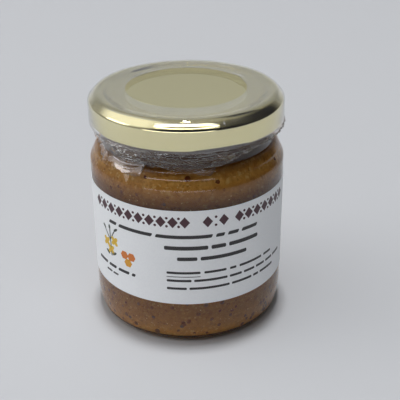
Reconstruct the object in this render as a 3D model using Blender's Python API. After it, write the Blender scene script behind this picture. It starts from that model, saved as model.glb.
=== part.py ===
"""A shut glass jar of wholegrain mustard with a twist-off metal lid.

Five solids stand on z = 0 round the Z axis: the glass, the mustard inside it,
the lid, the clear shrink band over the lid and neck, and the wrapped label.
The middle of the label faces -Y. Blender works in metres, +Z up.
"""

import math

import bmesh
import bpy

MM = 0.001

# Turned pieces
SIDES = 60                       # flat sides round the jar, the same for every piece
ARC_STEP = math.radians(30)      # how far a rounded corner turns at each point
MERGE = 0.001 * MM               # points closer than this are one point

# Gaps between neighbours
GAP = 0.3 * MM

# Glass
BODY_R = 33.05 * MM              # straight wall of the body
WALL = 2.2 * MM
FOOT_R = 30.2 * MM               # outer edge of the ring it stands on
FOOT_ROUND = 0.6 * MM
PUNT_R = 26.0 * MM               # inner edge of that ring
PUNT_H = 1.4 * MM                # how far the underside is pushed up
PUNT_SLOPE = 2.0 * MM
HEEL_R = 31.9 * MM               # middle of the heel, where its curve turns hardest
HEEL_LOW = 1.5 * MM
HEEL_ROUND = 3.0 * MM
HEEL_H = 6.2 * MM
WALL_FOOT_ROUND = 12.0 * MM
FLOOR_Z = 3.0 * MM               # inside floor
FLOOR_ROUND = 2.8 * MM
SHOULDER_Z = 58.1 * MM           # where the wall starts to close in
SHOULDER_ROUND = 7.0 * MM
SHOULDER_TOP_R = 30.6 * MM
SHOULDER_TOP_Z = 63.1 * MM
SHOULDER_TOP_ROUND = 1.6 * MM
NECK_R = 29.4 * MM
NECK_Z = 63.9 * MM
NECK_ROUND = 0.8 * MM
INSIDE_SHOULDER_DROP = 1.4 * MM  # the inside of the shoulder sits this much lower
MOUTH_Z = 79.3 * MM
MOUTH_ROUND = 0.9 * MM
MOUTH_STEP = 0.2 * MM
THREAD_R = 30.7 * MM             # bead that stands for the thread, under the lid
THREAD_Z = 76.2 * MM
THREAD_H = 1.6 * MM
THREAD_SLOPE = 0.7 * MM

# Mustard
FILL_Z = 69.5 * MM
FILL_INSET = 0.345 * MM          # a little over the gap, because it is measured level

# Lid
LID_R = 32.6 * MM
LID_TOP = 80.35 * MM             # crest of the ring round the lid
LID_BOTTOM = 71.1 * MM
PANEL_Z = 79.5 * MM              # sunk middle of the lid
PANEL_R = 25.6 * MM
PANEL_ROUND = 1.0 * MM
RING_SLOPE = 2.0 * MM            # from the panel's edge up to the ring
RING_ROUND = 1.5 * MM
CHAMFER = 2.3 * MM               # from the ring out to the skirt
CHAMFER_H = 2.1 * MM
CHAMFER_ROUND = 2.2 * MM
EDGE_ROUND = 0.5 * MM
TIN = 0.4 * MM
CURL = 1.3 * MM                  # rolled lower edge, measured inwards
LUGS = 4
LUG_HALF_ANGLE = math.radians(17)
LUG_TURN = math.radians(20)      # first lug, to the right of the front
LUG_LIFT = 0.6 * MM
LUG_REACH = 0.8 * MM

# Shrink band
FILM = 0.15 * MM
BAND_HOLE_R = 20.3 * MM          # hole in the middle of the lid's top
BAND_BOTTOM = 64.9 * MM
BAND_NECK_R = 30.3 * MM          # outer face where it hugs the neck
BAND_DRAW = ((0.9 * MM, 3.2 * MM), (0.3 * MM, 4.6 * MM))  # outwards, and below the lid
PLEATS = 18
PLEAT_DEPTH = 0.12 * MM
EDGE_WAVE = 0.35 * MM

# Label
LABEL_LOW = 16.3 * MM
LABEL_HIGH = 51.2 * MM
LABEL_LENGTH = 115.0 * MM
PAPER = 0.15 * MM
LABEL_TURN = math.radians(2)     # its middle, to the right of the front
LABEL_STEP = math.radians(2.5)


def clear_scene():
    for thing in list(bpy.data.objects):
        bpy.data.objects.remove(thing, do_unlink=True)


def finish(name, colour, roughness, metallic=0.0, alpha=1.0):
    """A Principled material with these values."""
    material = bpy.data.materials.new(name)
    material.use_nodes = True
    shader = material.node_tree.nodes["Principled BSDF"]
    shader.inputs["Base Color"].default_value = (*colour, 1.0)
    shader.inputs["Roughness"].default_value = roughness
    shader.inputs["Metallic"].default_value = metallic
    shader.inputs["Alpha"].default_value = alpha
    return material


def rounded(corners):
    """Points of an outline through (radius, height, fillet) corners, each fillet an arc."""
    points = []
    for index, (r, z, fillet) in enumerate(corners):
        if fillet == 0:
            points.append((r, z))
            continue
        before = corners[index - 1]
        after = corners[(index + 1) % len(corners)]
        back = math.atan2(before[1] - z, before[0] - r)
        on = math.atan2(after[1] - z, after[0] - r)
        opening = (on - back + math.pi) % (2 * math.pi) - math.pi
        half = abs(opening) / 2
        turn = math.pi - 2 * half
        reach = fillet / math.sin(half)
        middle = back + opening / 2
        centre = (r + reach * math.cos(middle), z + reach * math.sin(middle))
        start = middle + math.pi + math.copysign(turn / 2, opening)
        count = max(1, math.ceil(turn / ARC_STEP))
        for step in range(count + 1):
            angle = start - math.copysign(turn * step / count, opening)
            points.append((centre[0] + fillet * math.cos(angle),
                           centre[1] + fillet * math.sin(angle)))
    return points


def turned(name, points, material, closed=False, shape=None):
    """Spins an outline round Z. shape moves a point, given its radius, height and angle."""
    mesh = bpy.data.meshes.new(name)
    work = bmesh.new()
    verts = [work.verts.new((r, 0, z)) for r, z in points]
    edges = [work.edges.new(pair) for pair in zip(verts[:-1], verts[1:])]
    if closed:
        edges.append(work.edges.new((verts[-1], verts[0])))
    bmesh.ops.spin(work, geom=verts + edges, cent=(0, 0, 0), axis=(0, 0, 1),
                   angle=2 * math.pi, steps=SIDES, use_merge=True)
    bmesh.ops.remove_doubles(work, verts=work.verts, dist=MERGE)
    bmesh.ops.recalc_face_normals(work, faces=work.faces)
    if shape:
        for vert in work.verts:
            angle = math.atan2(vert.co.y, vert.co.x)
            r, z = shape(math.hypot(vert.co.x, vert.co.y), vert.co.z, angle)
            vert.co = (r * math.cos(angle), r * math.sin(angle), z)
    work.to_mesh(mesh)
    work.free()
    return add(name, mesh, material)


def add(name, mesh, material):
    mesh.materials.append(material)
    mesh.shade_smooth()
    mesh.set_sharp_from_angle(angle=math.radians(35))
    piece = bpy.data.objects.new(name, mesh)
    bpy.context.collection.objects.link(piece)
    return piece


def cavity(inset, top):
    """Corners of the space inside the glass, from the middle of its floor up to a height."""
    wall = BODY_R - WALL - inset
    slope = SHOULDER_TOP_R - WALL - inset
    neck = NECK_R - WALL - inset
    return [
        (0, FLOOR_Z + inset, 0),
        (wall, FLOOR_Z + inset, FLOOR_ROUND - inset),
        (wall, SHOULDER_Z - INSIDE_SHOULDER_DROP, SHOULDER_ROUND - inset),
        (slope, SHOULDER_TOP_Z - INSIDE_SHOULDER_DROP, SHOULDER_TOP_ROUND - inset),
        (neck, NECK_Z - INSIDE_SHOULDER_DROP - inset, NECK_ROUND + inset),
        (neck, top, 0),
    ]


def make_glass():
    """Round jar: heel, straight wall, sloping shoulder, short neck and rolled mouth."""
    bead_low = THREAD_Z - THREAD_H / 2
    bead_high = THREAD_Z + THREAD_H / 2
    inside = cavity(0, MOUTH_Z)[:-1]
    outside = [
        (NECK_R - WALL, MOUTH_Z, MOUTH_ROUND),
        (NECK_R - MOUTH_STEP, MOUTH_Z, MOUTH_ROUND),
        (NECK_R - MOUTH_STEP, bead_high + THREAD_SLOPE, 0),
        (THREAD_R, bead_high, 0),
        (THREAD_R, bead_low, 0),
        (NECK_R, bead_low - THREAD_SLOPE, 0),
        (NECK_R, NECK_Z, NECK_ROUND),
        (SHOULDER_TOP_R, SHOULDER_TOP_Z, SHOULDER_TOP_ROUND),
        (BODY_R, SHOULDER_Z, SHOULDER_ROUND),
        (BODY_R, HEEL_H, WALL_FOOT_ROUND),
        (HEEL_R, HEEL_LOW, HEEL_ROUND),
        (FOOT_R, 0, FOOT_ROUND),
        (PUNT_R, 0, 0),
        (PUNT_R - PUNT_SLOPE, PUNT_H, PUNT_SLOPE),
        (0, PUNT_H, 0),
    ]
    clear = finish("clear_glass", (0.85, 0.87, 0.84), 0.03, alpha=0.35)
    return turned("glass_jar", rounded(inside + outside), clear)


def make_mustard():
    """The filling, a shade smaller than the cavity, with a flat top in the neck."""
    corners = cavity(FILL_INSET, FILL_Z) + [(0, FILL_Z, 0)]
    paste = finish("wholegrain_mustard", (0.19, 0.10, 0.035), 0.5)
    return turned("mustard", rounded(corners)[::-1], paste)


def lug(angle):
    """1 at the middle of a lug, 0 away from the lugs."""
    spacing = 2 * math.pi / LUGS
    front = angle + math.pi / 2 - LUG_TURN
    away = abs((front + spacing / 2) % spacing - spacing / 2)
    if away > LUG_HALF_ANGLE:
        return 0.0
    return math.cos(away / LUG_HALF_ANGLE * math.pi / 2) ** 0.5


def press_lugs(r, z, angle):
    """Pushes the rolled edge up and in at each lug."""
    if z > LID_BOTTOM + CURL:
        return r, z
    inner = r < LID_R - CURL / 2
    z += LUG_LIFT * lug(angle) * (1 - (z - LID_BOTTOM) / CURL)
    return (r - LUG_REACH * lug(angle) if inner else r), z


def make_lid():
    """Tinplate twist-off lid: sunk panel, raised ring, straight skirt, rolled edge with lugs."""
    ring_in = PANEL_R + RING_SLOPE
    ring_out = LID_R - CHAMFER
    inner_r = LID_R - TIN
    curl_top = LID_BOTTOM + CURL
    corners = [
        (0, PANEL_Z, 0),
        (PANEL_R, PANEL_Z, PANEL_ROUND),
        (ring_in, LID_TOP, RING_ROUND),
        (ring_out, LID_TOP, CHAMFER_ROUND),
        (LID_R, LID_TOP - CHAMFER_H, EDGE_ROUND),
        (LID_R, LID_BOTTOM, EDGE_ROUND),
        (LID_R - CURL, LID_BOTTOM, EDGE_ROUND),
        (LID_R - CURL, curl_top, 0),
        (inner_r, curl_top + TIN, 0),
        (inner_r, LID_TOP - CHAMFER_H - TIN / 2, 0),
        (ring_out - TIN / 2, LID_TOP - TIN, CHAMFER_ROUND),
        (ring_in + TIN / 2, LID_TOP - TIN, 0),
        (PANEL_R + TIN / 2, PANEL_Z - TIN, 0),
        (0, PANEL_Z - TIN, 0),
    ]
    gold = finish("gold_lacquered_tinplate", (0.55, 0.50, 0.28), 0.2, metallic=1.0)
    return turned("lid", rounded(corners), gold, shape=press_lugs)


def gather(r, z, angle):
    """Pleats the band below the lid and gives it an uneven lower edge."""
    below = max(0.0, LID_BOTTOM - z) / (LID_BOTTOM - BAND_BOTTOM)
    pleat = math.sin(PLEATS * angle) + 0.5 * math.sin((2 * PLEATS - 7) * angle + 1)
    wave = math.sin(5 * angle + 0.6) + 0.6 * math.sin(11 * angle)
    return r + PLEAT_DEPTH * pleat * below, z + EDGE_WAVE * wave * below


def band_face(inset):
    """Corners of one face of the band, from the hole in its top down to its lower edge."""
    out_r = LID_R + GAP + FILM - inset
    top = LID_TOP + GAP + FILM - inset
    neck_r = BAND_NECK_R - inset
    drawn = [(neck_r + out, LID_BOTTOM - down, 0) for out, down in BAND_DRAW]
    return [
        (BAND_HOLE_R, top, 0),
        (out_r - CHAMFER, top, CHAMFER_ROUND),
        (out_r, top - CHAMFER_H, EDGE_ROUND),
        (out_r, LID_BOTTOM, EDGE_ROUND),
        *drawn,
        (neck_r, BAND_BOTTOM, 0),
    ]


def make_shrink_band():
    """Clear film over the lid's ring and skirt, drawn in round the neck below it."""
    outline = rounded(band_face(0)) + rounded(band_face(FILM))[::-1]
    film = finish("clear_shrink_film", (0.9, 0.9, 0.88), 0.1, alpha=0.3)
    return turned("shrink_band", outline, film, closed=True, shape=gather)


def make_label():
    """Paper strip wrapped round the front of the body."""
    inner = BODY_R + GAP
    outer = inner + PAPER
    spread = LABEL_LENGTH / outer
    first = -math.pi / 2 + LABEL_TURN - spread / 2
    mesh = bpy.data.meshes.new("label")
    work = bmesh.new()
    ends = [(inner, LABEL_LOW), (outer, LABEL_LOW), (outer, LABEL_HIGH), (inner, LABEL_HIGH)]
    verts = [work.verts.new((r * math.cos(first), r * math.sin(first), z)) for r, z in ends]
    start = work.faces.new(verts)
    bmesh.ops.spin(work, geom=[*verts, *start.edges], cent=(0, 0, 0), axis=(0, 0, 1),
                   angle=spread, steps=round(spread / LABEL_STEP))
    bmesh.ops.holes_fill(work, edges=[edge for edge in work.edges if edge.is_boundary])
    bmesh.ops.recalc_face_normals(work, faces=work.faces)
    work.to_mesh(mesh)
    work.free()
    paper = finish("white_label_paper", (0.72, 0.73, 0.75), 0.6)
    return add("label", mesh, paper)


clear_scene()
make_glass()
make_mustard()
make_lid()
make_shrink_band()
make_label()
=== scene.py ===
"""Looks for a shut glass jar of wholegrain mustard with a gold twist-off lid.

The file follows the jar as it is filled and closed: glass, mustard, seeds, lid,
shrink band, label and print, and then the table and lights it is photographed with.
"""

import math
import random

import bpy
from mathutils import Matrix, Vector, noise


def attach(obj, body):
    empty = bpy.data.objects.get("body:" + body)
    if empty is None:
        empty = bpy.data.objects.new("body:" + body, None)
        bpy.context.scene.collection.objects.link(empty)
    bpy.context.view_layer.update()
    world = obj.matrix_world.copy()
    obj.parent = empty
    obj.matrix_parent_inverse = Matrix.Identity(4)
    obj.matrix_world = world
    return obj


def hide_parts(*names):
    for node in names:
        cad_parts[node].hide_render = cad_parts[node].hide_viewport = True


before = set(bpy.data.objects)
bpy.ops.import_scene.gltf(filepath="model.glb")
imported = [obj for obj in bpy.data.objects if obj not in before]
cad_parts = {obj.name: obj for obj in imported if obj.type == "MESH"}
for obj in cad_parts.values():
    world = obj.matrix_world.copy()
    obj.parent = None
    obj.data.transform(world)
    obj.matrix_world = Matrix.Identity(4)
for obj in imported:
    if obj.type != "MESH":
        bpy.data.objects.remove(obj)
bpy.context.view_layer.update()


# Glass jar
# Soda-lime glass, blown in a two-part mould: heel, straight wall, sloping shoulder and a
# short neck with one thread bead. It stands on the ring round its pushed-up underside.

MM = 0.001
SIDES = 144
EDGE_STEPS = 5
SHARP = math.radians(30)
RING_REACH = 0.02 * MM
TINY = 0.001 * MM

GLASS_R = 33.35 * MM
WALL = 2.25 * MM
NECK_R = 29.4 * MM
RIM_R = 29.2 * MM
BEAD_R = 30.7 * MM
MOUTH_Z = 79.3 * MM
FLOOR_Z = 2.1 * MM
FLOOR_TURN = 1.5 * MM
# The shoulder as it is inside the glass, and where the neck starts.
SHOULDER_LOW = 56.7 * MM
SHOULDER_HIGH = 61.7 * MM
SHOULDER_R = 28.4 * MM
NECK_FOOT = 62.6 * MM
PUSH_UP = 1.4 * MM


def draw_rings(name, sides, rings):
    """Draws a skin through rings given as (radius, height), and stays in edit mode."""
    bpy.ops.object.select_all(action="DESELECT")
    bpy.ops.mesh.primitive_circle_add(vertices=sides, radius=rings[0][0], enter_editmode=True)
    piece = bpy.context.object
    piece.name = name
    bpy.ops.transform.translate(value=(0, 0, rings[0][1]))
    for (old_r, old_z), (r, z) in zip(rings[:-1], rings[1:]):
        bpy.ops.mesh.extrude_region_move(TRANSFORM_OT_translate={"value": (0, 0, z - old_z)})
        bpy.ops.transform.resize(value=(r / old_r, r / old_r, 1), center_override=(0, 0, z))
    return piece


def select_edges(piece, wanted):
    """Selects, in edit mode, the edges that have both ends at a wanted place."""
    bpy.ops.mesh.select_all(action="DESELECT")
    bpy.ops.mesh.select_mode(type="EDGE")
    bpy.ops.object.mode_set(mode="OBJECT")
    chosen = {point.index for point in piece.data.vertices if wanted(point.co)}
    for edge in piece.data.edges:
        edge.select = edge.vertices[0] in chosen and edge.vertices[1] in chosen
    bpy.ops.object.mode_set(mode="EDIT")


def select_ring(piece, r, z):
    """Selects one ring of a turned piece, by radius and height."""
    def on_ring(place):
        return abs(math.hypot(place.x, place.y) - r) < RING_REACH and abs(place.z - z) < RING_REACH
    select_edges(piece, on_ring)


def turned_piece(name, corners):
    """Turns a piece from corners given as (radius, height, rounding).

    The first and last corners have a radius of 0, which closes the piece on its axis.
    """
    rings = [corner for corner in corners if corner[0] > 0]
    piece = draw_rings(name, SIDES, [(r, z) for r, z, _ in rings])
    for r, z, _ in (rings[-1], rings[0]):
        select_ring(piece, r, z)
        bpy.ops.mesh.extrude_region_move(TRANSFORM_OT_translate={"value": (0, 0, 0)})
        bpy.ops.mesh.merge(type="CENTER")
    for r, z, rounding in rings:
        if rounding > 0:
            select_ring(piece, r, z)
            bpy.ops.mesh.bevel(offset=rounding, segments=EDGE_STEPS, affect="EDGES")
    bpy.ops.mesh.select_all(action="SELECT")
    bpy.ops.mesh.remove_doubles(threshold=TINY)
    bpy.ops.mesh.normals_make_consistent(inside=False)
    bpy.ops.object.mode_set(mode="OBJECT")
    bpy.ops.object.shade_smooth_by_angle(angle=SHARP)
    return piece


def linear(hex_colour):
    """An sRGB colour such as "C8B27A" as linear red, green, blue and 1."""
    parts = [int(hex_colour[i:i + 2], 16) / 255 for i in (0, 2, 4)]
    return (*[c / 12.92 if c <= 0.04045 else ((c + 0.055) / 1.055) ** 2.4 for c in parts], 1)


def new_material(name):
    """An empty material and its node tree."""
    material = bpy.data.materials.new(name)
    material.use_nodes = True
    material.node_tree.nodes.clear()
    return material, material.node_tree


def add_node(tree, kind, inputs=None, stops=(), **settings):
    """Adds a node with its settings. An input is a value, or a socket to link from.

    stops are the places and colours along a colour ramp, from its start to its end.
    """
    made = tree.nodes.new("ShaderNode" + kind)
    for key, value in settings.items():
        setattr(made, key, value)
    for key, value in (inputs or {}).items():
        if isinstance(value, bpy.types.NodeSocket):
            tree.links.new(value, made.inputs[key])
        else:
            made.inputs[key].default_value = value
    if stops:
        ramp = made.color_ramp.elements
        ramp.remove(ramp[-1])
        ramp[0].position = stops[0][0]
        ramp[0].color = linear(stops[0][1])
        for position, colour in stops[1:]:
            ramp.new(position).color = linear(colour)
    return made


def dress(piece, material, slot, *nodes):
    """Gives the piece its material and its body, and hides the solids it stands for. slot is not used.
    """
    piece.data.materials.clear()
    piece.data.materials.append(material)
    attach(piece, "root")
    if nodes:
        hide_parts(*nodes)
    return piece


inner_r = GLASS_R - WALL
neck_inner_r = NECK_R - WALL


def inside_corners(bite):
    """The inside of the glass from the floor to the neck, moved into the wall by bite."""
    return [
        (0, FLOOR_Z - bite, 0),
        (inner_r + bite, FLOOR_Z - bite, FLOOR_TURN),
        (inner_r + bite, SHOULDER_LOW, 1.7 * MM),
        (SHOULDER_R + bite, SHOULDER_HIGH, 0.7 * MM),
        (neck_inner_r + bite, NECK_FOOT, 0.4 * MM),
    ]


glass = turned_piece("jar_glass", [
    *inside_corners(0),
    # The rim, the thread bead and the neck.
    (neck_inner_r, MOUTH_Z, 0.8 * MM),
    (RIM_R, MOUTH_Z, 0.8 * MM),
    (RIM_R, 77.7 * MM, 0.2 * MM),
    (BEAD_R, 77.0 * MM, 0.4 * MM),
    (BEAD_R, 75.4 * MM, 0.4 * MM),
    (NECK_R, 74.7 * MM, 0.2 * MM),
    (NECK_R, 63.9 * MM, 0.4 * MM),
    # The shoulder, with the small step that catches the light, and the wall.
    (30.7 * MM, 63.1 * MM, 0.5 * MM),
    (31.75 * MM, 61.4 * MM, 0.15 * MM),
    (31.9 * MM, 60.8 * MM, 0.15 * MM),
    (GLASS_R, 57.9 * MM, 0.7 * MM),
    (GLASS_R, 6.2 * MM, 3.2 * MM),
    # The heel, the ring that it stands on and the pushed-up middle.
    (32.1 * MM, 1.5 * MM, 1.1 * MM),
    (30.2 * MM, 0, 0.5 * MM),
    (26.0 * MM, 0, 0.3 * MM),
    (24.0 * MM, PUSH_UP, 0.8 * MM),
    (0, PUSH_UP, 0),
])

# Soda-lime glass, fire-polished: clear, with a faint grey-green body and a mirror-smooth skin.
glass_material, tree = new_material("soda_lime_glass")
clear = add_node(tree, "BsdfPrincipled", {
    "Base Color": linear("F7FAF6"),
    "Roughness": 0.0,
    "IOR": 1.52,
    "Transmission Weight": 1.0,
})
add_node(tree, "OutputMaterial", {"Surface": clear.outputs[0]})
dress(glass, glass_material, "clear_glass", "glass_jar")


# Mustard
# A thick paste of crushed brown and yellow mustard seed with honey and vinegar, spooned in up
# to the neck. It is pressed against the glass, so its surface lies just inside the wall.

BITE = 0.05 * MM
FILL_Z = 69.5 * MM
# Painted light and shade on the paste at each height in millimetres, from the floor to the neck:
# painted light near the floor and on the shoulder, painted shade on the straight wall, and a painted
# shadow of the lid in the neck.
PAINTED_LIGHT_BY_HEIGHT = [(3.5, "E4D6B8"), (7, "C8B698"), (11, "B6A282"), (53, "AA947A"), (57, "DED0BC"),
         (59, "FFFFFF"), (60.4, "E8DED2"), (62.2, "9C8874"), (63.4, "4E3A2A")]
# A colour Mix node takes its factor and its two colours as inputs 0, 6 and 7.
FACTOR, FIRST, SECOND = 0, 6, 7

mustard = turned_piece("mustard_paste", [
    *inside_corners(BITE),
    (neck_inner_r + BITE, FILL_Z, 0.5 * MM),
    (0, FILL_Z, 0),
])

# Wholegrain mustard: wet golden-brown paste, broadly mottled, with crushed seed and husk about 0.7 mm
# across in it. Light and shade are painted on by height: painted light near the floor and on the
# shoulder, and a painted shadow under the lid.
paste_material, tree = new_material("wholegrain_mustard_paste")
place = add_node(tree, "TexCoord")
mottle = add_node(tree, "TexNoise", {
    "Vector": place.outputs["Object"], "Scale": 1 / (2.4 * MM), "Detail": 4.0, "Roughness": 0.65,
})
cloud = add_node(tree, "ValToRGB", {"Fac": mottle.outputs["Fac"]},
                 stops=[(0.36, "D89C44"), (0.64, "FCC46A")])
crush = add_node(tree, "TexVoronoi", {
    "Vector": place.outputs["Object"], "Scale": 1 / (0.7 * MM), "Randomness": 1.0,
})
pick = add_node(tree, "SeparateColor", {"Color": crush.outputs["Color"]})
bits = add_node(tree, "ValToRGB", {"Fac": pick.outputs["Red"]},
                stops=[(0.0, "A05A28"), (0.14, "D4924A"), (0.86, "ECAE5A"), (1.0, "FFE09A")])
blend = add_node(tree, "Mix", {
    FACTOR: 0.5, FIRST: cloud.outputs["Color"], SECOND: bits.outputs["Color"],
}, data_type="RGBA")
height = add_node(tree, "SeparateXYZ", {"Vector": place.outputs["Object"]})
height_share = add_node(tree, "MapRange", {"Value": height.outputs["Z"], "From Max": FILL_Z})
# The height ramp is painted light and shade, multiplied into the paste's own colour below.
painted_light = add_node(tree, "ValToRGB", {"Fac": height_share.outputs["Result"]},
                stops=[(z * MM / FILL_Z, colour) for z, colour in PAINTED_LIGHT_BY_HEIGHT])
shade = add_node(tree, "Mix", {
    FACTOR: 1.0, FIRST: blend.outputs[2], SECOND: painted_light.outputs["Color"],
}, data_type="RGBA", blend_type="MULTIPLY")
paste = add_node(tree, "BsdfPrincipled", {
    "Base Color": shade.outputs[2], "Roughness": 0.55, "Specular IOR Level": 0.1,
})
add_node(tree, "OutputMaterial", {"Surface": paste.outputs[0]})
dress(mustard, paste_material, "wholegrain_mustard", "mustard")


# Mustard seeds
# Whole brown seeds 1.5 to 2.3 mm across and small pale bits of husk that lie against the glass,
# most of them low down. Only a cap of each shows through the paste.

# Half sizes, how far the caps poke out, and thickness as a share of the size.
SEED_SIZES = (0.75 * MM, 1.15 * MM)
SEED_POKE = (0.12 * MM, 0.40 * MM)
SEED_THICKNESS = 0.95
HUSK_SIZES = (0.16 * MM, 0.30 * MM)
HUSK_POKE = (0.08 * MM, 0.14 * MM)
HUSK_THICKNESS = 0.6
GRAIN_WIDTHS = (0.85, 1.1)
GRAIN_DENTS = 0.12
# How many lie between two heights: seeds, then husk.
LAYERS = [(3.0 * MM, 8.0 * MM, 60, 150), (8.0 * MM, 16.0 * MM, 80, 90),
          (16.0 * MM, 50.0 * MM, 90, 110), (50.0 * MM, 60.5 * MM, 22, 40)]
SEEDS, HUSK = 0, 1
# Single large ones in front: degrees from the front, height and half size.
FRONT_SEEDS = [(0, 60.4 * MM, 1.25 * MM)]
FRONT_HUSK = [(-4, 4.6 * MM, 0.45 * MM), (2, 4.4 * MM, 0.5 * MM)]

rng = random.Random(11)
paste_r = inner_r + BITE


def skin_at(z):
    """Radius of the paste's skin at a height, and how far the skin leans back, in radians."""
    if z < FLOOR_Z + FLOOR_TURN:
        lean = -math.asin(min(1.0, (FLOOR_Z + FLOOR_TURN - z) / FLOOR_TURN))
        return paste_r - FLOOR_TURN * (1 - math.cos(lean)), lean
    if z < SHOULDER_LOW:
        return paste_r, 0.0
    share = (z - SHOULDER_LOW) / (SHOULDER_HIGH - SHOULDER_LOW)
    return (paste_r + (SHOULDER_R + BITE - paste_r) * share,
            math.atan2(paste_r - SHOULDER_R, SHOULDER_HIGH - SHOULDER_LOW))


def lay_grain(first, angle, z, size, poke, thickness):
    """Copies the first grain to the skin of the paste, so that its outer cap pokes out of it."""
    grain = first.copy()
    grain.data = first.data.copy()
    bpy.context.collection.objects.link(grain)
    r, lean = skin_at(z)
    widths = [size * rng.uniform(*GRAIN_WIDTHS) for _ in range(2)]
    shape = Matrix.Diagonal((size * thickness, *widths, 1))
    tumble = Matrix.Rotation(rng.uniform(0, math.tau), 4, "X")
    sink = Matrix.Translation((poke - size * thickness, 0, 0))
    outward = Matrix.Rotation(angle, 4, "Z") @ Matrix.Rotation(-lean, 4, "Y")
    centre = Matrix.Translation((r * math.cos(angle), r * math.sin(angle), z))
    grain.data.transform(centre @ outward @ sink @ tumble @ shape)
    return grain


def lay_grains(name, kind, sizes, poke, thickness, roundness, in_front):
    """Scatters one kind of grain over the layers and joins it into one piece."""
    bpy.ops.object.select_all(action="DESELECT")
    bpy.ops.mesh.primitive_ico_sphere_add(subdivisions=roundness, radius=1, enter_editmode=True)
    bpy.ops.transform.vertex_random(offset=GRAIN_DENTS, seed=3)
    bpy.ops.object.mode_set(mode="OBJECT")
    first = bpy.context.object
    grains = []
    for low, high, *counts in LAYERS:
        for _ in range(counts[kind]):
            grains.append(lay_grain(first, rng.uniform(0, math.tau), rng.uniform(low, high),
                                    rng.uniform(*sizes), rng.uniform(*poke), thickness))
    for degrees, z, size in in_front:
        grains.append(lay_grain(first, math.radians(degrees - 90), z, size, poke[1], thickness))
    bpy.data.objects.remove(first)
    bpy.ops.object.select_all(action="DESELECT")
    for grain in grains:
        grain.select_set(True)
    bpy.context.view_layer.objects.active = grains[0]
    bpy.ops.object.join()
    bpy.ops.object.shade_smooth()
    piece = bpy.context.object
    piece.name = name
    return piece


def dry_husk(name, drift_size, stops, roughness):
    """A dull seed husk, whose colour drifts from one grain to the next."""
    material, tree = new_material(name)
    place = add_node(tree, "TexCoord")
    drift = add_node(tree, "TexNoise", {
        "Vector": place.outputs["Object"], "Scale": 1 / drift_size, "Detail": 1.0,
    })
    colour = add_node(tree, "ValToRGB", {"Fac": drift.outputs["Fac"]}, stops=stops)
    skin = add_node(tree, "BsdfPrincipled", {
        "Base Color": colour.outputs["Color"], "Roughness": roughness, "Specular IOR Level": 0.2,
    })
    add_node(tree, "OutputMaterial", {"Surface": skin.outputs[0]})
    return material


seed_piece = lay_grains("mustard_seeds", SEEDS, SEED_SIZES, SEED_POKE, SEED_THICKNESS, 2, FRONT_SEEDS)
husk_piece = lay_grains("seed_husk", HUSK, HUSK_SIZES, HUSK_POKE, HUSK_THICKNESS, 1, FRONT_HUSK)

# Brown mustard seed: a dull husk between dark red-brown and purple-grey, each a little different.
dress(seed_piece, dry_husk("brown_mustard_seed_husk", 2.2 * MM,
                           [(0.35, "7A3A14"), (0.52, "8A5226"), (0.68, "705648")], 0.5),
      "wholegrain_mustard")

# Yellow mustard husk: pale, papery flakes from straw to cream.
dress(husk_piece, dry_husk("yellow_mustard_husk", 1.5 * MM,
                           [(0.4, "C48A36"), (0.66, "F0D08A")], 0.6),
      "wholegrain_mustard")


# Lid
# A twist-off lid pressed from tinplate: sunk panel, raised ring that holds the seal, straight
# skirt and a rolled edge with four lugs that grip the thread.

LID_R = 32.9 * MM
LID_TOP = 80.6 * MM
LID_BOTTOM = 71.15 * MM
PANEL_R = 25.7 * MM
PANEL_Z = 79.65 * MM
RING_R = 27.7 * MM
CHAMFER = 2.6 * MM
CORNER = 0.68 * MM
TIN = 0.25 * MM
INSET = 0.1 * MM
CURL = 1.2 * MM
LUGS = 4
LUG_HALF = math.radians(17)
LUG_TURN = math.radians(20)
LUG_RISE = 0.65 * MM
LUG_REACH = 0.8 * MM
# Between these two radii the flat panel gives way to the drawn ring.
RING_START = 26 * MM
RING_FULL = 29 * MM

lid = turned_piece("lid_tinplate", [
    (0, PANEL_Z, 0),
    (PANEL_R, PANEL_Z, 0.6 * MM),
    (RING_R, LID_TOP, 0.8 * MM),
    (LID_R - CHAMFER, LID_TOP, 1.2 * MM),
    (LID_R, LID_TOP - CHAMFER, CORNER),
    (LID_R, LID_BOTTOM, 0.4 * MM),
    # The rolled edge, and the inside back up to the panel.
    (LID_R - CURL, LID_BOTTOM, 0.4 * MM),
    (LID_R - CURL, LID_BOTTOM + CURL, 0),
    (LID_R - TIN, LID_BOTTOM + CURL + TIN, 0),
    (LID_R - TIN, LID_TOP - CHAMFER - INSET, 0.3 * MM),
    (LID_R - CHAMFER - INSET, LID_TOP - TIN, 1.0 * MM),
    (RING_R + INSET, LID_TOP - TIN, 0.6 * MM),
    (PANEL_R + INSET, PANEL_Z - TIN, 0.6 * MM),
    (0, PANEL_Z - TIN, 0),
])

# Each lug is the rolled edge pinched up and in towards the neck.
lug_pitch = math.tau / LUGS
for point in lid.data.vertices:
    if point.co.z > LID_BOTTOM + CURL:
        continue
    angle = math.atan2(point.co.y, point.co.x) + math.pi / 2 - LUG_TURN
    away = abs((angle + lug_pitch / 2) % lug_pitch - lug_pitch / 2)
    if away < LUG_HALF:
        pinch = math.cos(away / LUG_HALF * math.pi / 2) ** 0.5
        point.co.z += LUG_RISE * pinch * (1 - (point.co.z - LID_BOTTOM) / CURL)
        radius = math.hypot(point.co.x, point.co.y)
        if radius < LID_R - CURL / 2:
            point.co.xy *= (radius - LUG_REACH * pinch) / radius

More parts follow.
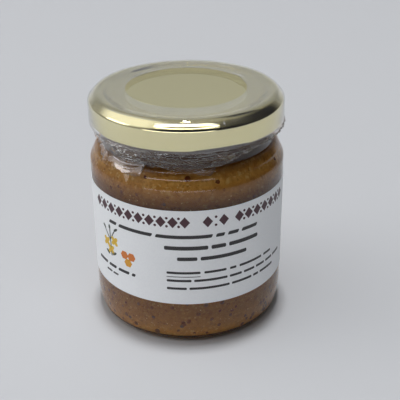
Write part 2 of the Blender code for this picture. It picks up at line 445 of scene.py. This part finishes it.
# Gold-lacquered tinplate: a pale champagne metal under smooth lacquer with a slight orange
# peel, which keeps reflections bright. Fine rings are left in the rim where it was drawn.
gold_material, tree = new_material("gold_lacquered_tinplate")
place = add_node(tree, "TexCoord")
peel = add_node(tree, "TexNoise", {
    "Vector": place.outputs["Object"], "Scale": 1 / (1.2 * MM), "Detail": 2.0,
})
across = add_node(tree, "SeparateXYZ", {"Vector": place.outputs["Object"]})
flat_place = add_node(tree, "CombineXYZ", {"X": across.outputs["X"], "Y": across.outputs["Y"]})
from_axis = add_node(tree, "VectorMath", {0: flat_place.outputs["Vector"]}, operation="LENGTH")
drawn = add_node(tree, "TexNoise", {
    "W": from_axis.outputs["Value"], "Scale": 1 / (0.9 * MM), "Detail": 1.0,
}, noise_dimensions="1D")
rim = add_node(tree, "MapRange", {
    "Value": from_axis.outputs["Value"], "From Min": RING_START, "From Max": RING_FULL,
})
ringed = add_node(tree, "Math", {0: drawn.outputs["Fac"], 1: rim.outputs["Result"]},
                  operation="MULTIPLY")
rings = add_node(tree, "Bump", {
    "Height": ringed.outputs[0], "Strength": 1.0, "Distance": 0.05 * MM,
})
lacquer = add_node(tree, "Bump", {
    "Height": peel.outputs["Fac"], "Strength": 0.5, "Distance": 0.01 * MM,
    "Normal": rings.outputs["Normal"],
})
metal = add_node(tree, "BsdfPrincipled", {
    "Base Color": linear("F2E9B4"), "Metallic": 1.0, "Roughness": 0.09,
    "Normal": lacquer.outputs["Normal"],
})
add_node(tree, "OutputMaterial", {"Surface": metal.outputs[0]})
dress(lid, gold_material, "gold_lacquered_tinplate", "lid")


# Shrink band
# Clear film shrunk over the lid as a seal. It hangs tight from the top ring down the skirt,
# then draws in to the neck in long slanting folds and ends in a torn, crumpled edge.

FILM = 0.05 * MM
FILM_SHARP = math.radians(60)
BAND_R = 33.0 * MM
BAND_HOLE_R = 20.3 * MM
BAND_TOP = 80.75 * MM
BAND_SIDES = 480
SKIRT_LOW = 71.1 * MM
STEP = 0.45 * MM
SOFTENINGS = 3
HANG_RINGS = 44
HANG_STEP = 0.2 * MM
# The line that the film follows below the lid: radius and height in millimetres.
HANG_PATH = [(33.0, 71.1), (32.7, 70.5), (31.9, 69.6), (30.9, 68.3), (30.2, 66.9), (29.8, 65.6),
             (29.8, 64.6), (30.3, 63.6), (31.3, 62.6), (32.3, 61.2), (33.0, 59.6)]
# All angles are degrees from the front, positive to the right, and heights are millimetres.
# The torn edge: an angle, and how far down its line the film reaches there, as a share.
TORN_EDGE = [(-180, 0.30), (-110, 0.38), (-84, 0.28), (-70, 0.50), (-62, 0.74), (-56, 0.76),
             (-50, 0.80), (-44, 0.89), (-36, 0.92), (-28, 0.90), (-25.5, 0.56), (-12, 0.60),
             (-2, 0.66), (4, 0.76), (13, 0.80), (17, 0.58), (24, 0.52), (36, 0.38), (50, 0.26),
             (66, 0.17), (84, 0.20), (120, 0.42), (180, 0.30)]
# How the edge is frayed: waves in a radian or so, noise layer, and depth as a share.
FRAYS = [(9, 3, 0.03), (30, 5, 0.04)]
# Long folds: points on the crest, as angle and share of the way down, then height and half width.
FOLDS = [
    ([(-62, 0.10), (-20, 0.13), (5, 0.17), (40, 0.09), (62, 0.05)], 0.6, 0.045),
    ([(-60, 0.22), (-35, 0.21), (-14, 0.26), (6, 0.31), (30, 0.24), (60, 0.12)], 0.95, 0.05),
    ([(-54, 0.36), (-34, 0.32), (-15, 0.33), (0, 0.43), (15, 0.46), (34, 0.36)], 1.25, 0.055),
    ([(-52, 0.52), (-42, 0.46), (-28, 0.43), (-12, 0.50), (6, 0.58), (22, 0.52)], 1.0, 0.05),
    ([(-48, 0.64), (-36, 0.60), (-26, 0.54)], 0.8, 0.06),
    ([(-46, 0.80), (-37, 0.78), (-27, 0.70)], 0.5, 0.06),
    ([(-18, 0.58), (-6, 0.64), (3, 0.66)], 1.0, 0.06),
]
FOLD_TAPER = 9
FOLD_WANDER = 0.012
FOLDS_FROM = 0.12
# Soft swags: height, length along the neck, spacing down it, and slant.
SWAG_HEIGHT, SWAG_LENGTH, SWAG_PITCH, SWAG_SLANT = 0.30, 14, 2.6, 0.04
# The neck's radius and the length of the drop, in millimetres, for patterns along and down it.
NECK_TURN, DROP = 31, 14
# Crumples start a little above the torn edge, and fade out in the flat flap on the left.
CRUMPLE_HEIGHT, CRUMPLE_START = 1.1, 0.14
FLAP_LEFT, FLAP_RIGHT = (-58, -50), (-28, -26)
# The fold beside the flap: angle, how far it leans by the bottom, half width and height.
SIDE_FOLD, SIDE_LEAN, SIDE_HALF, SIDE_HEIGHT = -62, 8, 3.0, 2.2
# Creases in the tight film: angle, half width and height, and the lean of all of them.
CREASES = [(23, 1.1, 0.09), (21, 0.5, 0.06), (-36, 0.9, 0.07), (-33, 0.35, 0.12)]
CREASE_LEAN = 0.4
# The nick for tearing it off: angle and half width, and the radii between which it fades.
NICK, NICK_HALF, NICK_FADE = 118, 7, (20.3, 22.6)
# The film curls up a little round the hole in its top, between these radii.
HEM_HEIGHT, HEM_FADE = 0.05, (20.3, 20.9)


def smooth(low, high, value):
    """Goes from 0 at low to 1 at high, with soft ends."""
    part = min(1.0, max(0.0, (value - low) / (high - low)))
    return part * part * (3 - 2 * part)


def hang_point(share):
    """Radius and height on the line the film follows below the lid, from 0 to 1."""
    place = share * (len(HANG_PATH) - 1)
    index = min(int(place), len(HANG_PATH) - 2)
    before, after = Vector(HANG_PATH[index]), Vector(HANG_PATH[index + 1])
    return (before + (after - before) * (place - index)) * MM


def hang_length(angle):
    """How far down its line the film reaches, as a share of it."""
    degrees = math.degrees(angle)
    for (start, before), (stop, after) in zip(TORN_EDGE[:-1], TORN_EDGE[1:]):
        if degrees <= stop:
            reach = before + (after - before) * smooth(start, stop, degrees)
            break
    for waves, layer, depth in FRAYS:
        reach += depth * noise.noise((math.sin(angle) * waves, math.cos(angle) * waves, layer))
    return reach


def ridge(x, y, layer):
    """Sharp-crested folds, from 0 in the valleys to 1 on the crests."""
    return max(0.0, 1 - 2.6 * abs(noise.noise((x, y, layer))))


def long_folds(degrees, share):
    """Height of the long folds, each a straight-sided crest that tapers off at its ends."""
    lift = 0.0
    for crest, height, half in FOLDS:
        first, last = crest[0][0], crest[-1][0]
        for (start, before), (stop, after) in zip(crest[:-1], crest[1:]):
            if start <= degrees < stop:
                line = before + (after - before) * (degrees - start) / (stop - start)
                ends = (smooth(first, first + FOLD_TAPER, degrees)
                        * smooth(-last, FOLD_TAPER - last, -degrees))
                off = share - line - FOLD_WANDER * noise.noise((degrees / 3, line * 9, 1))
                lift += height * ends * max(0.0, 1 - abs(off) / half)
    return lift


def fold(angle, share):
    """How far the film stands off its line: long swags round the neck, crumples at the edge."""
    degrees = math.degrees(angle)
    along = angle * NECK_TURN
    down = share * DROP
    lift = long_folds(degrees, share)
    lift += SWAG_HEIGHT * ridge(along / SWAG_LENGTH, down / SWAG_PITCH + SWAG_SLANT * along, 9)
    flap = smooth(*FLAP_LEFT, degrees) * smooth(-FLAP_RIGHT[1], -FLAP_RIGHT[0], -degrees)
    reach = max(hang_length(angle), 0.06)
    near_edge = smooth(reach - CRUMPLE_START, reach, share) * (1 - flap)
    crumple = ridge(along / 1.5, down / 1.2, 4) + 0.4 * ridge(along / 0.7, down / 0.7, 2)
    lift += CRUMPLE_HEIGHT * near_edge * crumple
    from_side_fold = (degrees - SIDE_FOLD - SIDE_LEAN * share) / SIDE_HALF
    lift += SIDE_HEIGHT * share * math.exp(-from_side_fold ** 2)
    return lift * MM


def wrinkle(angle, radius, z):
    """How far the tight film stands off the lid: shallow rings, a few creases and the tear nick."""
    degrees = math.degrees(angle)
    lift = 0.02 + 0.045 * noise.noise((radius / (1.1 * MM), z / (1.6 * MM), angle * 1.5))
    lean = (BAND_TOP - z) / MM * CREASE_LEAN
    for middle, half, height in CREASES:
        crease = height * math.exp(-((degrees - middle - lean) / half) ** 2)
        lift += crease * smooth(RING_START, RING_FULL, radius)
    nick = math.exp(-((degrees - NICK) / NICK_HALF) ** 2) * (1 - smooth(*NICK_FADE, radius / MM))
    lift += nick * (0.35 + 0.35 * noise.noise((degrees / 2.5, radius / MM, 7)))
    hem = 1 - smooth(*HEM_FADE, radius / MM)
    lift += HEM_HEIGHT * hem * (1 + noise.noise((degrees / 6, 0, 1)))
    return max(0.0, lift) * MM


def give_thickness(piece, thickness, offset):
    """Gives a sheet its thickness, on both sides of it (offset 0) or inwards (offset -1)."""
    wall = piece.modifiers.new("thickness", "SOLIDIFY")
    wall.thickness = thickness
    wall.offset = offset
    bpy.ops.object.modifier_apply(modifier=wall.name)


band_path = [Vector((BAND_HOLE_R, BAND_TOP))]
for r, z in ((BAND_R - CHAMFER, BAND_TOP), (BAND_R, BAND_TOP - CHAMFER), (BAND_R, SKIRT_LOW)):
    start, stop = band_path[-1], Vector((r, z))
    steps = max(1, round((stop - start).length / STEP))
    band_path += [start.lerp(stop, step / steps) for step in range(1, steps + 1)]
for _ in range(SOFTENINGS):
    inside = [(a + 2 * b + c) / 4 for a, b, c in zip(band_path[:-2], band_path[1:-1], band_path[2:])]
    band_path = [band_path[0], *inside, band_path[-1]]
band_path += [Vector((BAND_R, SKIRT_LOW - ring * HANG_STEP)) for ring in range(1, HANG_RINGS + 1)]

band = draw_rings("shrink_film", BAND_SIDES, band_path)
bpy.ops.mesh.select_all(action="SELECT")
bpy.ops.mesh.normals_make_consistent(inside=False)
bpy.ops.object.mode_set(mode="OBJECT")
normals = [point.normal.copy() for point in band.data.vertices]
for point, normal in zip(band.data.vertices, normals):
    angle = math.atan2(point.co.x, -point.co.y)
    below = SKIRT_LOW - point.co.z
    if below < HANG_STEP / 2:
        radius = math.hypot(point.co.x, point.co.y)
        point.co += normal * wrinkle(angle, radius, point.co.z)
        continue
    share = below / (HANG_RINGS * HANG_STEP) * hang_length(angle)
    line = hang_point(share)
    radius = line.x + fold(angle, share) * smooth(0, FOLDS_FROM, share)
    point.co = (radius * math.sin(angle), -radius * math.cos(angle), line.y)
give_thickness(band, FILM, 0)
bpy.ops.object.shade_smooth_by_angle(angle=FILM_SHARP)


def film_skin(name, colour, ior, clearness):
    """A glossy plastic film that shows what is under it and mirrors the room."""
    material, tree = new_material(name)
    skin = add_node(tree, "BsdfPrincipled", {
        "Base Color": linear(colour), "Roughness": 0.02, "IOR": ior,
        "Transmission Weight": clearness,
    })
    add_node(tree, "OutputMaterial", {"Surface": skin.outputs[0]})
    return material


# Clear shrink film: a glossy skin that hardly shows, but for bright edges seen at a slant.
dress(band, film_skin("clear_shrink_film", "FFFFFF", 1.58, 0.98), "clear_shrink_film", "shrink_band")

# Where the film hangs free, shrinking has crazed it: it mirrors more, with a faint haze.
band.data.materials.append(film_skin("crazed_shrink_film", "FAF4F0", 1.8, 0.99))
for face in band.data.polygons:
    if face.center.z < SKIRT_LOW:
        face.material_index = 1


# Label
# A strip of white coated paper, wrapped round the front and stuck down all over. It is
# printed with plain bars where words would be, and a mustard sprig beside three honey cells.

LABEL_R = GLASS_R + 0.12 * MM
LABEL_LOW = 16.3 * MM
LABEL_HIGH = 51.2 * MM
LABEL_LENGTH = 115 * MM
LABEL_TURN = math.radians(2)
LABEL_CORNER = 0.8 * MM
PAPER = 0.1 * MM
BEND_STEP = 1.5 * MM


def wrap_round(piece, radius):
    """Bends a flat piece, drawn in X and Z, round the jar with X = 0 at the front."""
    for point in piece.data.vertices:
        angle = point.co.x / radius
        point.co = ((radius - point.co.y) * math.sin(angle),
                    -(radius - point.co.y) * math.cos(angle), point.co.z)


bpy.ops.object.select_all(action="DESELECT")
bpy.ops.mesh.primitive_grid_add(x_subdivisions=math.ceil(LABEL_LENGTH / BEND_STEP), y_subdivisions=1,
                                size=1, enter_editmode=True)
label = bpy.context.object
label.name = "label_paper"
label_height = LABEL_HIGH - LABEL_LOW
bpy.ops.transform.resize(value=(LABEL_LENGTH, label_height, 1))
bpy.ops.mesh.select_all(action="DESELECT")
bpy.ops.object.mode_set(mode="OBJECT")
for point in label.data.vertices:
    at_end = abs(abs(point.co.x) - LABEL_LENGTH / 2) < TINY
    at_side = abs(abs(point.co.y) - label_height / 2) < TINY
    point.select = at_end and at_side
bpy.ops.object.mode_set(mode="EDIT")
bpy.ops.mesh.bevel(offset=LABEL_CORNER, segments=3, affect="VERTICES")
bpy.ops.object.mode_set(mode="OBJECT")
label.data.transform(Matrix.Translation((LABEL_TURN * LABEL_R, 0, (LABEL_LOW + LABEL_HIGH) / 2))
                     @ Matrix.Rotation(math.pi / 2, 4, "X"))
wrap_round(label, LABEL_R)
give_thickness(label, PAPER, -1)
bpy.ops.object.shade_smooth_by_angle(angle=SHARP)

# Coated label paper: matt white with a faint cloud of fibre, and a soft sheen.
paper_material, tree = new_material("white_coated_paper")
place = add_node(tree, "TexCoord")
fibre = add_node(tree, "TexNoise", {
    "Vector": place.outputs["Object"], "Scale": 1 / (0.6 * MM), "Detail": 4.0,
})
whites = add_node(tree, "ValToRGB", {"Fac": fibre.outputs["Fac"]},
                  stops=[(0.3, "F3F5F8"), (0.7, "F8FAFC")])
sheet = add_node(tree, "BsdfPrincipled", {"Base Color": whites.outputs["Color"], "Roughness": 0.55})
add_node(tree, "OutputMaterial", {"Surface": sheet.outputs[0]})
dress(label, paper_material, "white_label_paper", "label")


# Label print
# Thin coats of ink on the paper: a maroon border of lozenges in place of the heading, slanted
# and upright bars in place of words, a mustard sprig, and three honey cells. Places and sizes
# are millimetres: along the label from the jar's front, and up from the table.

INK = 0.06 * MM
INK_R = LABEL_R + 0.04 * MM
PRINT_HALF = 42 * MM
# Each group of lozenges, from its start to its end.
HEADING_GROUPS = [(-38.0, 0.6), (4.6, 13.4), (15.6, 41.6)]
HEADING_Z = 47.1
LOZENGE = (3.4, 4.0)
DOT = 0.9
DOT_RISE = 1.45
# Each line of bars: start, height of its middle, bar height, slant, gap, then the lengths.
WORD_LINES = [
    (-30.0, 41.8, 1.2, 0.4, 1.3, (3.6, 13.0, 18.6, 2.9, 3.8, 6.4)),
    (-8.0, 37.7, 1.4, 0.0, 1.1, (14.4, 5.0, 11.6)),
    (-3.8, 33.7, 1.3, 0.0, 1.1, (6.6, 16.4)),
    (-7.4, 28.4, 0.85, 0.0, 1.3, (11.2, 7.6, 2.4, 9.8, 4.2)),
    (-7.4, 25.4, 0.85, 0.0, 0.9, (8.2, 11.4, 4.6, 4.6, 4.2, 4.0, 5.2)),
    (-7.4, 22.4, 0.85, 0.0, 0.9, (6.6, 13.8, 8.0, 2.4, 7.6)),
    (-7.4, 26.9, 0.25, 0.0, 0.0, (11.2,)),
    (-38.6, 24.6, 1.1, 0.3, 1.2, (5.8, 4.0, 4.9, 1.4)),
    (-33.3, 22.0, 0.7, 0.3, 0.7, (3.1, 2.7)),
]
BAR_ROUNDING = 0.3
BAR, LOZENGE_SIDES, CELL_SIDES, ROUND_SIDES = 0, 4, 6, 12


def draw_flat(sides, place, size, turn=0.0, slant=0.0, rounding=0.0):
    """One flat shape in millimetres, X along the label and Y up it.

    sides is how many corners stand round it, the first one on top. With 0 it is a bar.
    """
    bpy.ops.object.select_all(action="DESELECT")
    if sides == BAR:
        bpy.ops.mesh.primitive_plane_add(size=MM, enter_editmode=True)
    else:
        bpy.ops.mesh.primitive_circle_add(vertices=sides, radius=MM / 2, fill_type="NGON",
                                          enter_editmode=True)
    drawn = bpy.context.object
    bpy.ops.transform.resize(value=(size[0], size[1], 1))
    if rounding:
        bpy.ops.mesh.bevel(offset=rounding * MM, segments=3, affect="VERTICES")
    bpy.ops.object.mode_set(mode="OBJECT")
    drawn.data.transform(Matrix.Translation(Vector((*place, 0)) * MM)
                         @ Matrix.Rotation(math.radians(turn), 4, "Z"))
    for point in drawn.data.vertices:
        point.co.x += slant * (point.co.y - place[1] * MM)
    return drawn


def print_ink(name, shapes, ink_material):
    """Joins flat shapes, cuts them across so that they bend, and lays them on the label."""
    bpy.ops.object.select_all(action="DESELECT")
    for drawn in shapes:
        drawn.select_set(True)
    bpy.context.view_layer.objects.active = shapes[0]
    bpy.ops.object.join()
    ink = bpy.context.object
    ink.name = name
    bpy.ops.object.transform_apply(location=True, rotation=True, scale=True)
    bpy.ops.object.mode_set(mode="EDIT")
    cuts = round(PRINT_HALF / BEND_STEP)
    for step in range(-cuts, cuts + 1):
        bpy.ops.mesh.select_all(action="SELECT")
        bpy.ops.mesh.bisect(plane_co=(step * BEND_STEP, 0, 0), plane_no=(1, 0, 0))
    bpy.ops.object.mode_set(mode="OBJECT")
    ink.data.transform(Matrix.Rotation(math.pi / 2, 4, "X"))
    wrap_round(ink, INK_R)
    give_thickness(ink, INK, -1)
    bpy.ops.object.shade_smooth_by_angle(angle=SHARP)
    return dress(ink, ink_material, "white_label_paper")


def printing_ink(name, colour):
    """Offset printing ink on coated paper: flat colour, a shade uneven, with a slight gloss."""
    material, tree = new_material(name)
    place = add_node(tree, "TexCoord")
    grain = add_node(tree, "TexNoise", {
        "Vector": place.outputs["Object"], "Scale": 1 / (0.35 * MM), "Detail": 2.0,
    })
    strength = add_node(tree, "MapRange", {
        "Value": grain.outputs["Fac"], "To Min": 0.85, "To Max": 1.15,
    })
    tint = add_node(tree, "VectorMath", {
        0: linear(colour)[:3], "Scale": strength.outputs["Result"],
    }, operation="SCALE")
    coat = add_node(tree, "BsdfPrincipled", {"Base Color": tint.outputs[0], "Roughness": 0.4})
    add_node(tree, "OutputMaterial", {"Surface": coat.outputs[0]})
    return material


border = []
for group_start, group_end in HEADING_GROUPS:
    length = group_end - group_start
    count = round(length / (LOZENGE[0] + DOT / 2))
    pitch = (length - LOZENGE[0]) / max(1, count - 1)
    for index in range(count):
        middle = group_start + LOZENGE[0] / 2 + index * pitch
        border.append(draw_flat(LOZENGE_SIDES, (middle, HEADING_Z), LOZENGE))
        if index:
            border += [draw_flat(ROUND_SIDES, (middle - pitch / 2, HEADING_Z + rise), (DOT, DOT))
                       for rise in (-DOT_RISE, DOT_RISE)]
print_ink("print_heading_border", border, printing_ink("maroon_offset_ink", "4A2932"))

bars = []
for bar_start, bar_z, bar_height, slant, gap, lengths in WORD_LINES:
    for length in lengths:
        bars.append(draw_flat(BAR, (bar_start + length / 2, bar_z), (length, bar_height),
                              slant=slant, rounding=BAR_ROUNDING * bar_height))
        bar_start += length + gap
print_ink("print_word_bars", bars, printing_ink("black_offset_ink", "2E2C2E"))

# The sprig: three four-petalled flowers on a leaning stem, with dark leaves and unopened tips.
SPRIG_FLOWERS = [(-32.3, 33.2), (-27.9, 34.6), (-30.0, 30.8)]
PETAL = (2.1, 1.5)
FLOWER_HEART = (1.0, 1.0)
petals = []
for x, z in SPRIG_FLOWERS:
    for quarter in range(4):
        turn = 45 + 90 * quarter
        out = math.radians(turn)
        petals.append(draw_flat(ROUND_SIDES, (x + math.cos(out), z + math.sin(out)), PETAL, turn=turn))
print_ink("print_flowers", petals, printing_ink("yellow_offset_ink", "E2BB35"))

stems = [
    draw_flat(BAR, (-30.0, 33.6), (0.45, 10.4), slant=-0.04),
    draw_flat(BAR, (-31.6, 36.2), (0.4, 4.6), turn=38),
    draw_flat(BAR, (-28.7, 36.9), (0.4, 4.6), turn=-32),
    draw_flat(ROUND_SIDES, (-33.3, 38.6), (2.0, 0.9), turn=140),
    draw_flat(ROUND_SIDES, (-27.0, 39.2), (2.2, 0.9), turn=35),
    draw_flat(ROUND_SIDES, (-30.3, 39.3), (1.0, 1.7)),
    draw_flat(ROUND_SIDES, (-28.3, 29.6), (2.6, 1.0), turn=30),
    draw_flat(ROUND_SIDES, (-31.9, 29.2), (2.4, 1.0), turn=150),
]
print_ink("print_stems", stems, printing_ink("dark_green_offset_ink", "3B4238"))

# Two orange honey cells and an amber one below them. The flowers' hearts are amber too.
CELL = (3.3, 3.3)
CELL_TURN = 30
cells = [draw_flat(CELL_SIDES, place, CELL, turn=CELL_TURN) for place in ((-23.2, 31.2), (-20.2, 31.2))]
print_ink("print_honey_cells", cells, printing_ink("orange_offset_ink", "D97B34"))
amber = [draw_flat(CELL_SIDES, (-21.7, 28.6), CELL, turn=CELL_TURN)]
amber += [draw_flat(ROUND_SIDES, place, FLOWER_HEART) for place in SPRIG_FLOWERS]
print_ink("print_amber", amber, printing_ink("amber_offset_ink", "E0A02C"))


# Table, lights and camera
# A matt white sweep that bends up into a wall behind the jar. One soft lamp hangs high over
# it, and the room is darker in front, which gives the metal and glass their dark lines.

SWEEP_WIDTH = 2.4
SWEEP_DEPTH = 2.6
SWEEP_RISE = 1.6
SWEEP_BEND = 0.5

bpy.ops.object.select_all(action="DESELECT")
bpy.ops.mesh.primitive_plane_add(size=1, enter_editmode=True)
sweep = bpy.context.object
sweep.name = "white_sweep"
bpy.ops.transform.resize(value=(SWEEP_WIDTH, SWEEP_DEPTH, 1))
select_edges(sweep, lambda place: place.y > 0)
bpy.ops.mesh.extrude_region_move(TRANSFORM_OT_translate={"value": (0, 0, SWEEP_RISE)})
select_edges(sweep, lambda place: place.y > 0 and place.z < SWEEP_RISE / 2)
bpy.ops.mesh.bevel(offset=SWEEP_BEND, segments=16, affect="EDGES")
bpy.ops.object.mode_set(mode="OBJECT")
bpy.ops.object.shade_smooth()
sweep_material, tree = new_material("matt_white_backdrop")
matt = add_node(tree, "BsdfPrincipled", {"Base Color": linear("C2C4C8"), "Roughness": 0.7})
add_node(tree, "OutputMaterial", {"Surface": matt.outputs[0]})
sweep.data.materials.append(sweep_material)

# The overhead lamp gives the shadow. The strip draws the line of light on the lid, the panels
# in front and on the left lift the label and the jar's side, and the last one lights the wall.
# Each has its place, the point it faces and its size in metres, and its power in watts.
LIGHTS = [
    ("overhead_lamp", (0, 0.25, 6), (0, 0, 0), (0.5, 0.5), 212),
    ("lid_strip", (0, -0.43, 1.12), (0, 0, 0.08), (1.10, 0.09), 1.2),
    ("low_panel", (-0.2, -1.25, 0.09), (0, 0, 0.05), (2.1, 0.16), 2.8),
    ("side_panel", (-0.85, -0.05, 0.42), (0, 0, 0.04), (0.5, 0.3), 0.9),
    ("backdrop_light", (0, 0.7, 0.25), (0, 1.35, 0.55), (1.2, 0.2), 1.8),
]
for name, lamp_place, aim, size, power in LIGHTS:
    lamp = bpy.data.lights.new(name, "AREA")
    lamp.shape = "RECTANGLE"
    lamp.size, lamp.size_y = size
    lamp.energy = power
    holder = bpy.data.objects.new(name, lamp)
    holder.location = lamp_place
    holder.rotation_euler = (Vector(aim) - Vector(lamp_place)).to_track_quat("-Z", "Y").to_euler()
    bpy.context.collection.objects.link(holder)

# The room: pale all round, brightest on the left behind the jar. It is dark in front, where the
# photographer stands, and along the right-hand side. Each corner has its azimuth, elevation and
# half width in degrees.
ROOM_LIGHT = 0.30
DARK_CORNERS = [(0, 28, 36), (60, 24, 36), (105, 22, 26), (146, 46, 13)]
PALE_CORNER = (-95, 46, 26)
PALE_LIGHT = 0.8
# A corner's rim is soft: it starts and ends at these shares of the half width.
RIM_START, RIM_END = 0.6, 1.4

world = bpy.data.worlds.new("pale_room")
world.use_nodes = True
room = world.node_tree


def room_corner(azimuth, elevation, width, inside, outside):
    """A value that goes from inside to outside past the rim of a round part of the room.

    azimuth is 0 behind the camera and positive to the right, and the angles are degrees.
    """
    turn, rise = math.radians(azimuth), math.radians(elevation)
    middle = (math.sin(turn) * math.cos(rise), -math.cos(turn) * math.cos(rise), math.sin(rise))
    facing = add_node(room, "TexCoord")
    near = add_node(room, "VectorMath", {
        0: facing.outputs["Generated"], 1: middle,
    }, operation="DOT_PRODUCT")
    return add_node(room, "MapRange", {
        "Value": near.outputs["Value"],
        "From Min": math.cos(math.radians(width * RIM_END)),
        "From Max": math.cos(math.radians(width * RIM_START)),
        "To Min": outside,
        "To Max": inside,
    }, interpolation_type="SMOOTHSTEP").outputs["Result"]


room_level = room_corner(*DARK_CORNERS[0], 0.0, ROOM_LIGHT)
for corner in DARK_CORNERS[1:]:
    room_level = add_node(room, "Math", {0: room_level, 1: room_corner(*corner, 0.0, 1.0)},
                          operation="MULTIPLY").outputs[0]
room_level = add_node(room, "Math", {0: room_level, 1: room_corner(*PALE_CORNER, PALE_LIGHT, 0.0)},
                      operation="ADD").outputs[0]
room.links.new(room_level, room.nodes["Background"].inputs["Strength"])
room.nodes["Background"].inputs["Color"].default_value = linear("FFFFFF")
bpy.context.scene.world = world
bpy.context.scene.view_settings.view_transform = "Standard"

# The camera stands in front of the label and looks down at the jar. Its angles are radians.
CAMERA_PLACE = (0, -264.3 * MM, 172.1 * MM)
CAMERA_YAW = 0.0165
CAMERA_PITCH = 0.4688
CAMERA_ROLL = -0.0082
FRAME_WIDTH = 400
FOCAL_PIXELS = 829.1
SENSOR_WIDTH = 36
CLIP_START = 0.01

forward = Vector((math.sin(CAMERA_YAW) * math.cos(CAMERA_PITCH),
                  math.cos(CAMERA_YAW) * math.cos(CAMERA_PITCH), -math.sin(CAMERA_PITCH)))
right = forward.cross(Vector((0, 0, 1))).normalized()
up = right.cross(forward)
level_right = right * math.cos(CAMERA_ROLL) + up * math.sin(CAMERA_ROLL)
level_up = -right * math.sin(CAMERA_ROLL) + up * math.cos(CAMERA_ROLL)
lens = bpy.data.cameras.new("camera")
lens.sensor_width = SENSOR_WIDTH
lens.lens = FOCAL_PIXELS / FRAME_WIDTH * SENSOR_WIDTH
lens.clip_start = CLIP_START
camera = bpy.data.objects.new("camera", lens)
camera_turn = Matrix((level_right, level_up, -forward)).transposed().to_4x4()
camera.matrix_world = Matrix.Translation(CAMERA_PLACE) @ camera_turn
bpy.context.collection.objects.link(camera)
bpy.context.scene.camera = camera
